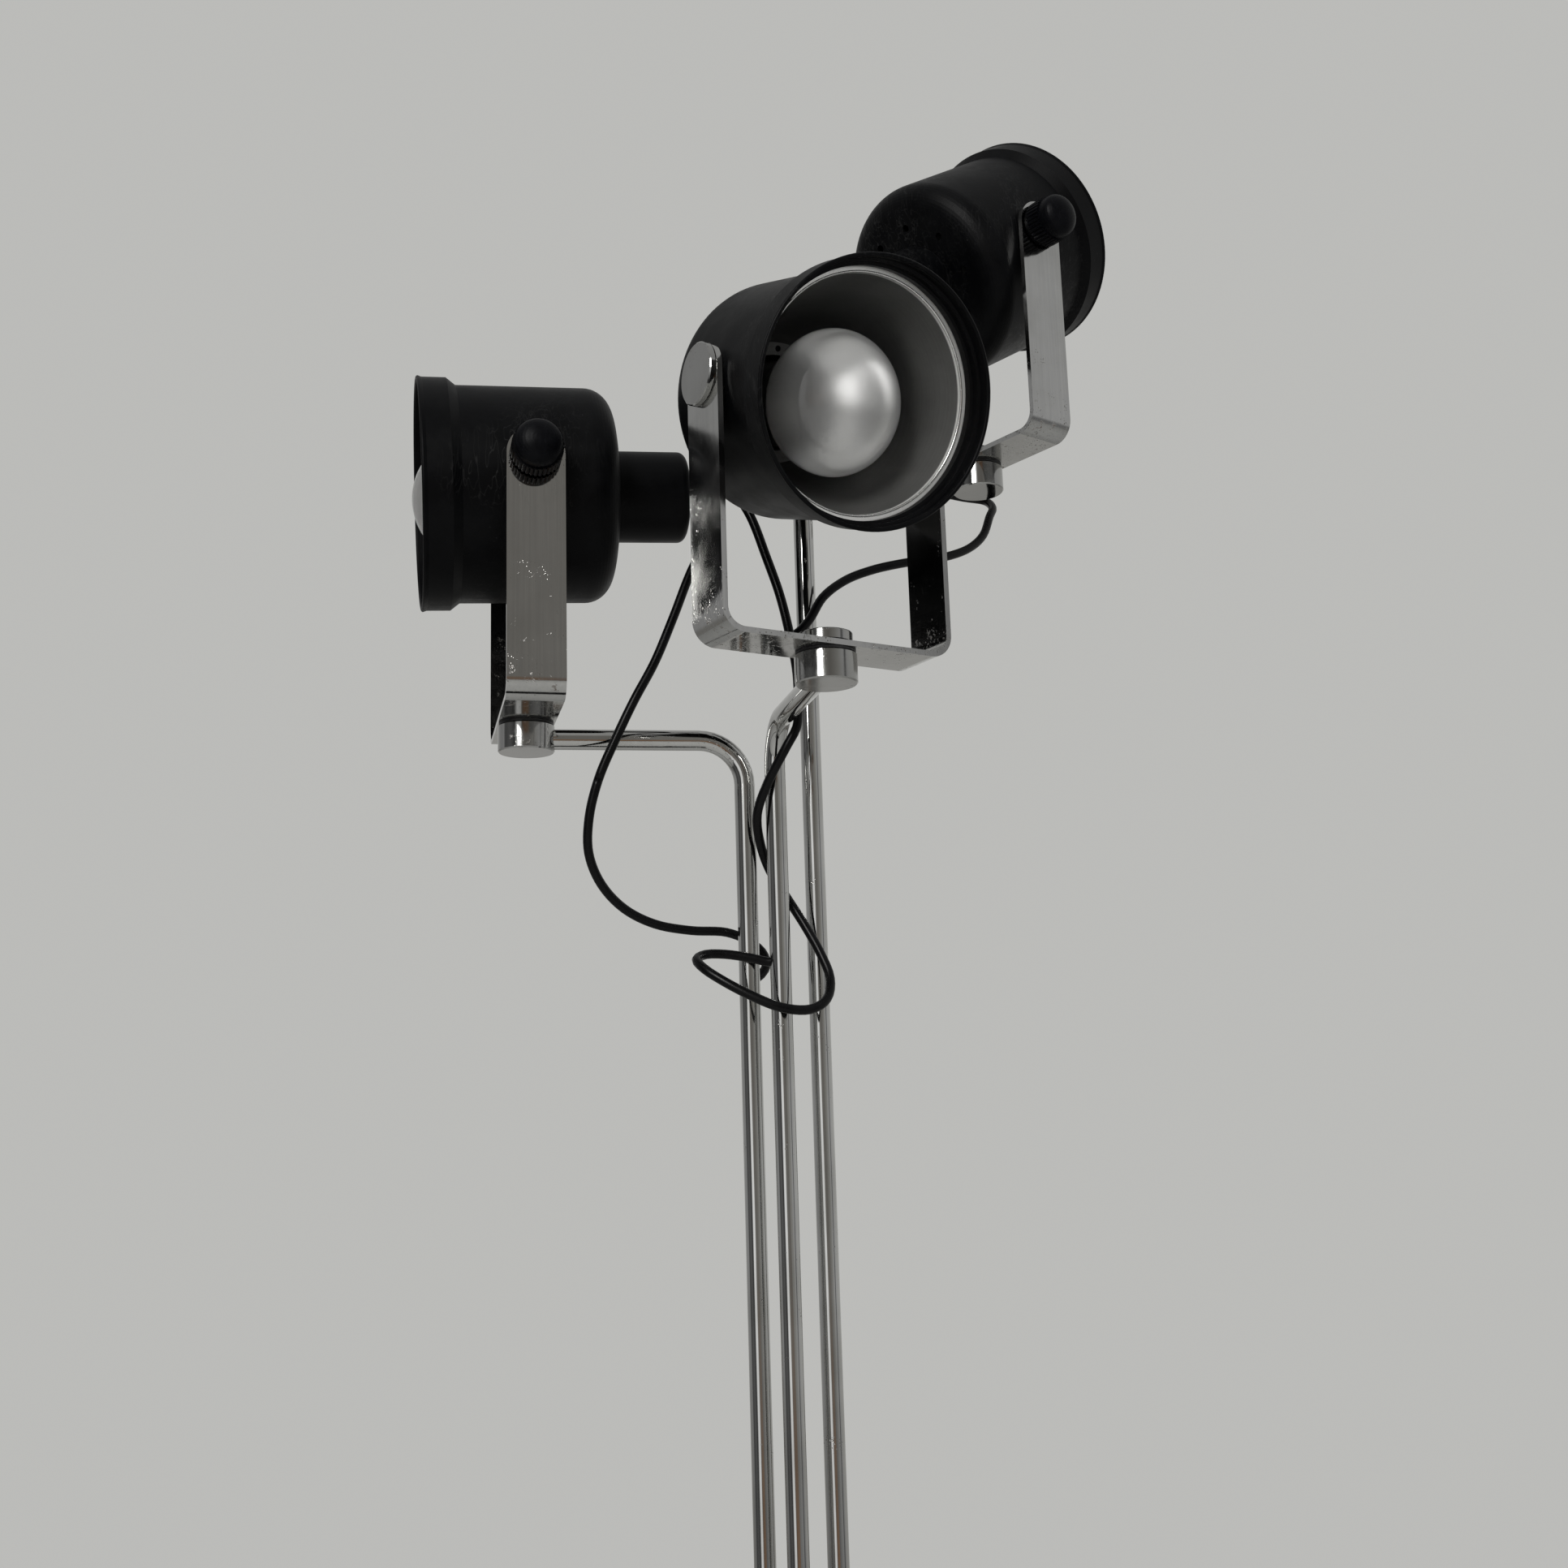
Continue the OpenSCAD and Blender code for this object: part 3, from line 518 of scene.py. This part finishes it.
# Bands by heading in degrees, from 0 towards the camera to 90 on its right: level and upward, then downward
ROOM_HIGH = [
    (-180, WALL_GREY), (-150, (0.38, 0.38, 0.37, 1)), (-114, grey(0.27)), (-94, grey(0.30)),
    (-86, grey(0.08)), (-60, grey(0.12)), (-44, grey(0.07)), (-37, grey(0.03)), (-33, grey(0.45)),
    (-29, grey(0.90)), (-11, grey(0.85)), (-7, (0.20, 0.19, 0.175, 1)), (12, (0.16, 0.152, 0.14, 1)),
    (40, (0.26, 0.255, 0.24, 1)), (64, grey(0.38)), (71, grey(0.05)), (79, grey(0.38)),
    (100, (0.42, 0.42, 0.41, 1)), (180, WALL_GREY),
]
ROOM_LOW = [
    (-180, (0.34, 0.335, 0.32, 1)), (-114, (0.17, 0.165, 0.155, 1)), (-94, grey(0.16)),
    (-86, grey(0.05)), (-60, grey(0.09)), (-40, grey(0.03)), (-35, grey(0.40)), (-30, grey(0.75)),
    (-14, grey(0.70)), (-9, (0.06, 0.045, 0.03, 1)), (-4, (0.17, 0.095, 0.055, 1)),
    (16, (0.20, 0.12, 0.07, 1)), (22, grey(0.12)), (44, grey(0.20)), (66, grey(0.22)), (72, grey(0.04)),
    (82, grey(0.16)), (104, (0.30, 0.295, 0.28, 1)), (180, (0.34, 0.335, 0.32, 1)),
]
cloud_inputs = {"Vector": direction, "Scale": CLOUD_SCALE, "Detail": CLOUD_DETAIL}
cloud = w.add("ShaderNodeTexNoise", cloud_inputs).outputs[0]
shift = w.math("MULTIPLY", w.math("SUBTRACT", cloud, CLOUD_MIDDLE), CLOUD_SHIFT)
level = w.math("ADD", look[2], shift)
low = w.range(level, LOW_STARTS, LOW_FULL, kind="SMOOTHSTEP")
room = w.mix(low, ramp(w, heading, ROOM_HIGH), ramp(w, heading, ROOM_LOW))
ceiling = w.range(look[2], CEILING_STARTS, CEILING_FULL, kind="SMOOTHSTEP")
metal_view = w.mix(ceiling, room, CEILING_GREY)
seen = w.add("ShaderNodeBackground", {"Color": WALL_GREY, "Strength": SEEN_STRENGTH}).outputs[0]
glossy = w.add("ShaderNodeBackground", {"Color": metal_view, "Strength": SEEN_STRENGTH}).outputs[0]
soft = w.add("ShaderNodeBackground", {"Color": SOFT_GREY, "Strength": SOFT_STRENGTH}).outputs[0]
rays = w.add("ShaderNodeLightPath").outputs
lit = w.add("ShaderNodeMixShader", {0: rays["Is Glossy Ray"], 1: soft, 2: glossy}).outputs[0]
plain = w.math("MAXIMUM", rays["Is Camera Ray"], rays["Is Transmission Ray"])
final = w.add("ShaderNodeMixShader", {0: plain, 1: lit, 2: seen}).outputs[0]
w.add("ShaderNodeOutputWorld", {0: final})

# Finishes: noise scales are per metre, and depths are in metres

PIT_BROWN = (0.10, 0.085, 0.07, 1)
RUST_BROWN = (0.13, 0.08, 0.05, 1)
WORN_TOP = 0.034
WORN_FOOT = 0.006
PAINT_CLEAN = (0.0011, 0.0012, 0.0016, 1)
PAINT_DUSTY = (0.0034, 0.0036, 0.0041, 1)
PAINT_SHEEN = 0.10
ALUMINIUM_LIGHT = (0.150, 0.150, 0.144, 1)
ALUMINIUM_DARK = (0.110, 0.110, 0.105, 1)
# The lip's near-white tone: partly the polished lip, partly a painted highlight.
LIP_POLISH_AND_HIGHLIGHT = (0.93, 0.93, 0.91, 1)
LIP_STARTS = 0.0366
LIP_FULL = 0.0374
FROST_LIGHT = 0.97
FROST_DULL = (0.94, 0.94, 0.925, 1)
CHROME_MARKS = [(0, 0, 0), (0.5, 0.3, 0), (1.3, 0, 0.4)]
PAINT_MARKS = [(0.2, 0, 0), (1.2, 0.4, 0), (0, 1.4, 0.3)]
GLASS_MARKS = [(0.4, 0.2, 0), (1.1, 0.3, 0.2)]
MOULDED_MARKS = [(0.3, 0.2, 0), (1.3, 0, 0.2)]
STREAK_SCALES = (700.0, 700.0, 14.0)
RUBBED_GAIN = 3


class Finish(Nodes):
    """One node material whose colour, roughness and relief vary over the surface."""

    def __init__(self, name, metallic=0.0, **settings):
        self.material = bpy.data.materials.new(name)
        self.material.use_nodes = True
        super().__init__(self.material.node_tree)
        self.shader = self.tree.nodes["Principled BSDF"]
        self.shader.inputs["Metallic"].default_value = metallic
        for key, value in settings.items():
            self.shader.inputs[key.replace("_", " ")].default_value = value
        self.place = self.add("ShaderNodeTexCoord").outputs["Object"]

    def stretched(self, scale, turn=(0, 0, 0)):
        """The surface's own place, turned and scaled by axis."""
        inputs = {"Vector": self.place, "Scale": scale, "Rotation": turn}
        return self.add("ShaderNodeMapping", inputs).outputs[0]

    def noise(self, scale, detail=4.0, rough=0.55, at=None):
        """Soft cloudy variation, about 0.5 on average."""
        inputs = {"Vector": at or self.place, "Scale": scale, "Detail": detail, "Roughness": rough}
        return self.add("ShaderNodeTexNoise", inputs).outputs[0]

    def cells(self, scale):
        """The distance to the nearest of many scattered points."""
        inputs = {"Vector": self.place, "Scale": scale, "Randomness": 1.0}
        return self.add("ShaderNodeTexVoronoi", inputs).outputs["Distance"]

    def scratches(self, scale, length, turns, fineness=0.012):
        """Thin long marks in several directions: 1 on a mark, 0 elsewhere."""
        total = None
        for turn in turns:
            at = self.stretched((scale, scale, scale / length), turn)
            ridge = self.math("ABSOLUTE", self.math("SUBTRACT", self.noise(1.0, 2.0, at=at), 0.5))
            mark = self.range(ridge, fineness, fineness * 0.3)
            patch = self.range(self.noise(scale * 0.05, 2.0), 0.52, 0.62)
            mark = self.math("MULTIPLY", mark, patch)
            total = mark if total is None else self.math("MAXIMUM", total, mark)
        return total

    def finish(self, colour, roughness, relief=()):
        """Joins colour, roughness and the (height, depth in metres) reliefs to the shader."""
        self.put(self.shader.inputs["Base Color"], colour)
        self.put(self.shader.inputs["Roughness"], roughness)
        normal = None
        for height, depth in relief:
            bump = self.add("ShaderNodeBump", {"Height": height, "Distance": depth, "Strength": 1.0})
            if normal:
                self.put(bump.inputs["Normal"], normal)
            normal = bump.outputs[0]
        if normal:
            self.put(self.shader.inputs["Normal"], normal)
        return self.material


def chrome(name, wear=0.5, base=0.66, worn_z=None):
    """Old bright chrome: pits, hair scratches, dull haze and brown spots, most of them near a height."""
    f = Finish(name, metallic=1.0)
    haze = f.range(f.noise(35.0, 5.0), 0.38, 0.72)
    more = 0.0
    if worn_z:
        height = f.add("ShaderNodeSeparateXYZ", {0: f.place}).outputs[2]
        more = f.range(height, worn_z + WORN_TOP, worn_z + WORN_FOOT, kind="SMOOTHSTEP")
    pits = f.range(f.cells(780.0), 0.30, 0.14)
    patch = f.math("ADD", f.noise(60.0, 4.0), f.math("MULTIPLY", more, 0.10))
    pits = f.math("MULTIPLY", pits, f.range(patch, 0.64 - 0.06 * wear, 0.70))
    blot = f.math("ADD", f.noise(210.0, 6.0, 0.72), f.math("MULTIPLY", more, 0.05))
    rust = f.range(blot, 0.69 - 0.04 * wear, 0.74)
    rust = f.math("MULTIPLY", rust, f.range(f.math("ADD", f.noise(26.0, 2.0), more), 0.5, 0.62))
    marks = f.scratches(260.0, 14.0, CHROME_MARKS)
    clear_tone = (base * 1.06, base * 1.06, base * 1.04, 1)
    hazy_tone = (base * 0.9, base * 0.9, base * 0.87, 1)
    colour = f.mix(haze, clear_tone, hazy_tone)
    colour = f.mix(f.math("MULTIPLY", marks, 0.25), colour, grey(base * 0.75))
    if worn_z:
        streaks = f.noise(1.0, 3.0, 0.6, at=f.stretched(STREAK_SCALES))
        colour = f.mix(f.range(streaks, 0.35, 0.65, 0.0, 0.35), colour, grey(base * 0.78))
    colour = f.mix(pits, colour, PIT_BROWN)
    colour = f.mix(f.math("MULTIPLY", rust, 0.8), colour, RUST_BROWN)
    roughness = f.range(haze, 0.0, 1.0, 0.05, 0.05 + 0.12 * wear)
    roughness = f.math("ADD", roughness, f.math("MULTIPLY", marks, 0.05))
    roughness = f.math("ADD", roughness, f.math("MULTIPLY", f.math("MAXIMUM", pits, rust), 0.4), clamp=True)
    relief = [
        (f.math("MULTIPLY", f.math("MAXIMUM", pits, rust), -1.0), 0.00008),
        (f.noise(14.0, 1.0), 0.0004),
        (f.noise(240.0, 2.0), 0.000012 * wear),
    ]
    return f.finish(colour, roughness, relief)


def black_paint():
    """Matt black stove paint with fine texture, dust and light scuffs."""
    f = Finish("black_paint_worn", Specular_IOR_Level=PAINT_SHEEN)
    dust = f.range(f.noise(45.0, 6.0, 0.65), 0.42, 0.75)
    marks = f.scratches(150.0, 9.0, PAINT_MARKS, 0.008)
    speck_patches = f.range(f.noise(90.0, 2.0), 0.6, 0.66)
    specks = f.math("MULTIPLY", f.range(f.cells(380.0), 0.10, 0.06), speck_patches)
    colour = f.mix(dust, PAINT_CLEAN, PAINT_DUSTY)
    colour = f.mix(f.math("MULTIPLY", marks, 0.4), colour, grey(0.04))
    colour = f.mix(f.math("MULTIPLY", specks, 0.5), colour, grey(0.06))
    roughness = f.range(dust, 0.0, 1.0, 0.40, 0.52)
    roughness = f.math("SUBTRACT", roughness, f.math("MULTIPLY", marks, 0.1))
    return f.finish(colour, roughness, [(f.noise(1500.0, 2.0), 0.00004), (f.noise(30.0, 2.0), 0.0003)])


def reflector(side):
    """Satin aluminium, brushed round the head's axis, greyer with age, with a near-white lip band that is
    partly polish and partly a painted highlight.
    """
    f = Finish(f"reflector_satin_{side}", metallic=0.55)
    axis = head_axis(side)
    pivot = tuple(head_point(side, 0.0))
    offset = f.add("ShaderNodeVectorMath", {0: f.place, 1: pivot}, operation="SUBTRACT")
    along = f.add("ShaderNodeVectorMath", {0: offset.outputs[0], 1: tuple(axis)}, operation="DOT_PRODUCT")
    along = along.outputs["Value"]
    spread = f.add("ShaderNodeVectorMath", {0: offset.outputs[0]}, operation="LENGTH").outputs["Value"]
    rings = f.add("ShaderNodeCombineXYZ", {0: along, 1: spread}).outputs[0]
    brushed = f.noise(900.0, 3.0, 0.6, at=rings)
    age = f.noise(30.0, 5.0, 0.6)
    colour = f.mix(f.range(age, 0.35, 0.7), ALUMINIUM_LIGHT, ALUMINIUM_DARK)
    colour = f.mix(f.range(brushed, 0.35, 0.65, 0.0, 0.2), colour, grey(0.22))
    # Near-white band at the lip: partly its polish, partly a painted highlight.
    lip = f.range(along, LIP_STARTS, LIP_FULL)
    colour = f.mix(lip, colour, LIP_POLISH_AND_HIGHLIGHT)
    spot_patches = f.range(f.noise(70.0, 2.0), 0.58, 0.64)
    spots = f.math("MULTIPLY", f.range(f.cells(260.0), 0.12, 0.07), spot_patches)
    colour = f.mix(f.math("MULTIPLY", spots, 0.6), colour, grey(0.1))
    roughness = f.math("SUBTRACT", f.range(brushed, 0.3, 0.7, 0.36, 0.48), f.math("MULTIPLY", lip, 0.12))
    return f.finish(colour, roughness, [(brushed, 0.00003)])


def frosted_glass():
    """Glass frosted on its inner side, with a clear gloss outside."""
    f = Finish(
        "bulb_frosted", Transmission_Weight=0.84, IOR=1.22,
        Coat_Weight=1.0, Coat_Roughness=0.03, Coat_IOR=1.5,
    )
    cloud = f.range(f.noise(60.0, 3.0, 0.5), 0.35, 0.7)
    marks = f.scratches(420.0, 7.0, GLASS_MARKS, 0.006)
    colour = f.mix(cloud, grey(FROST_LIGHT), FROST_DULL)
    colour = f.mix(f.math("MULTIPLY", marks, 0.5), colour, grey(0.6))
    return f.finish(colour, f.range(f.noise(2500.0, 2.0), 0.3, 0.7, 0.52, 0.58))


def silvered_glass():
    """The mirror inside and outside the bulb's bowl, a little clouded."""
    f = Finish("bulb_silver", metallic=1.0)
    cloud = f.range(f.noise(70.0, 4.0, 0.6), 0.35, 0.7)
    colour = f.mix(cloud, grey(0.96), grey(0.88))
    return f.finish(colour, f.range(cloud, 0.0, 1.0, 0.10, 0.16), [(f.noise(120.0, 2.0), 0.00005)])


def plain_metal(name, light, dark, low, high, grain=400.0):
    """A dull metal with fine grain and soft stains."""
    f = Finish(name, metallic=1.0)
    stain = f.range(f.noise(60.0, 5.0, 0.6), 0.4, 0.7)
    fine = f.noise(grain, 4.0, 0.6)
    colour = f.mix(stain, light, dark)
    colour = f.mix(f.range(fine, 0.45, 0.75, 0.0, 0.35), colour, dark)
    roughness = f.range(fine, 0.3, 0.7, low, high)
    return f.finish(colour, roughness, [(fine, 0.00006)])


def moulded(name, light, dark, low, high, grain=1400.0, depth=0.00003, marked=0.3, **settings):
    """Moulded plastic or rubber: faint grain, soft dust and small rubbed marks."""
    f = Finish(name, **settings)
    dust = f.range(f.noise(80.0, 5.0, 0.65), 0.42, 0.75)
    fine = f.noise(grain, 2.0)
    marks = f.scratches(300.0, 8.0, MOULDED_MARKS, 0.006)
    colour = f.mix(dust, dark, light)
    rubbed = [min(1.0, RUBBED_GAIN * tone) for tone in light[:3]] + [1]
    colour = f.mix(f.math("MULTIPLY", marks, marked), colour, rubbed)
    roughness = f.range(dust, 0.0, 1.0, low, high)
    roughness = f.math("ADD", roughness, f.math("MULTIPLY", marks, 0.1), clamp=True)
    return f.finish(colour, roughness, [(fine, depth)])


chrome_post = chrome("chrome_post", 0.4, 0.60)
chrome_small = chrome("chrome_small", 1.4, 0.44)
paint = black_paint()
holder = moulded("holder_black", (0.03, 0.03, 0.03, 1), (0.016, 0.016, 0.016, 1), 0.4, 0.55)
knob = moulded(
    "knob_gloss", (0.0040, 0.0042, 0.0055, 1), (0.0016, 0.0017, 0.0024, 1), 0.34, 0.48,
    Specular_IOR_Level=0.08,
)
washer = moulded("washer_dull", (0.024, 0.024, 0.026, 1), (0.012, 0.012, 0.013, 1), 0.4, 0.6)
bush = moulded("bush_rubber", (0.028, 0.028, 0.029, 1), (0.014, 0.014, 0.015, 1), 0.5, 0.65)
sheath = moulded(
    "cord_sheath", (0.0040, 0.0040, 0.0045, 1), (0.0020, 0.0020, 0.0024, 1), 0.26, 0.38,
    grain=900.0, depth=0.00001, marked=0.0, Specular_IOR_Level=0.18,
)
pad = moulded("pad_rubber", (0.07, 0.065, 0.06, 1), (0.04, 0.037, 0.034, 1), 0.7, 0.85, 500.0, 0.0001)
ivory = moulded("block_ivory", (0.75, 0.72, 0.62, 1), (0.68, 0.64, 0.53, 1), 0.35, 0.5)
zinc = plain_metal("zinc_steel", (0.52, 0.52, 0.53, 1), (0.38, 0.38, 0.37, 1), 0.25, 0.45)
cast = plain_metal("cast_rough", (0.20, 0.20, 0.21, 1), (0.11, 0.10, 0.095, 1), 0.55, 0.75, 220.0)
cap_metal = plain_metal("bulb_cap_dull", (0.66, 0.63, 0.55, 1), (0.48, 0.45, 0.38, 1), 0.28, 0.42)
lip_metal = plain_metal("reflector_lip", (0.95, 0.95, 0.94, 1), (0.80, 0.80, 0.78, 1), 0.20, 0.30)
bulb_front = frosted_glass()
bulb_silver = silvered_glass()
# The neck's near-black is painted shade, standing in for the dark deep inside the bulb's neck.
bulb_neck = plain_metal("bulb_neck_painted_shade", (0.035, 0.034, 0.032, 1), (0.02, 0.019, 0.018, 1), 0.35, 0.5)

floor_finish = Finish("floor_pale")
floor_noise = floor_finish.range(floor_finish.noise(3.0, 4.0), 0.3, 0.7)
floor_finish.finish(
    floor_finish.mix(floor_noise, FLOOR_LIGHT, FLOOR_DARK),
    floor_finish.range(floor_noise, 0.0, 1.0, 0.7, 0.8),
    [(floor_finish.noise(400.0, 3.0), 0.0002)],
)
bpy.ops.mesh.primitive_circle_add(
    vertices=FLOOR_CORNERS, radius=FLOOR_RADIUS, fill_type="NGON", location=(0, 0, 0),
)
floor = bpy.context.object
floor.name = "floor"
floor.data.materials.append(floor_finish.material)

# Every solid's own finish, by the start of its name

BY_NAME = [
    ("post_collars", chrome_small), ("post_nuts", zinc), ("post_", chrome_post),
    ("boss_", chrome_small), ("swivel_screw_", chrome_small), ("swivel_washers_", washer),
    ("pivot_disc_", chrome_small), ("pivot_fittings_", zinc),
    ("tilt_knob_", knob), ("can_", paint), ("neck_", paint), ("lampholder_", holder),
    ("lamp_nipple_", zinc), ("bulb_cap_", cap_metal), ("cord_bush_", bush),
    ("base_cover", paint), ("base_weight", cast), ("base_pad", pad), ("cord_gland", bush),
    ("terminal_block", ivory),
]
for side in HEADS:
    BY_NAME.append((f"reflector_{side}", reflector(side)))
    strap_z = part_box(f"yoke_{side}")[0].z
    BY_NAME.append((f"yoke_{side}", chrome(f"chrome_strap_{side}", 0.9, 0.58, strap_z)))


def dress(thing, material):
    """Puts one material in every slot of an object."""
    if not thing.material_slots:
        thing.data.materials.append(material)
    for place in thing.material_slots:
        place.material = material


for side in BULBS:
    bulb_piece(side)
for name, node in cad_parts.items():
    for start, material in BY_NAME:
        if name.startswith(start):
            dress(node, material)
            break
for piece in cord_pieces:
    dress(piece, sheath)
for piece in lips:
    dress(piece, lip_metal)

scene.view_settings.view_transform = "Standard"
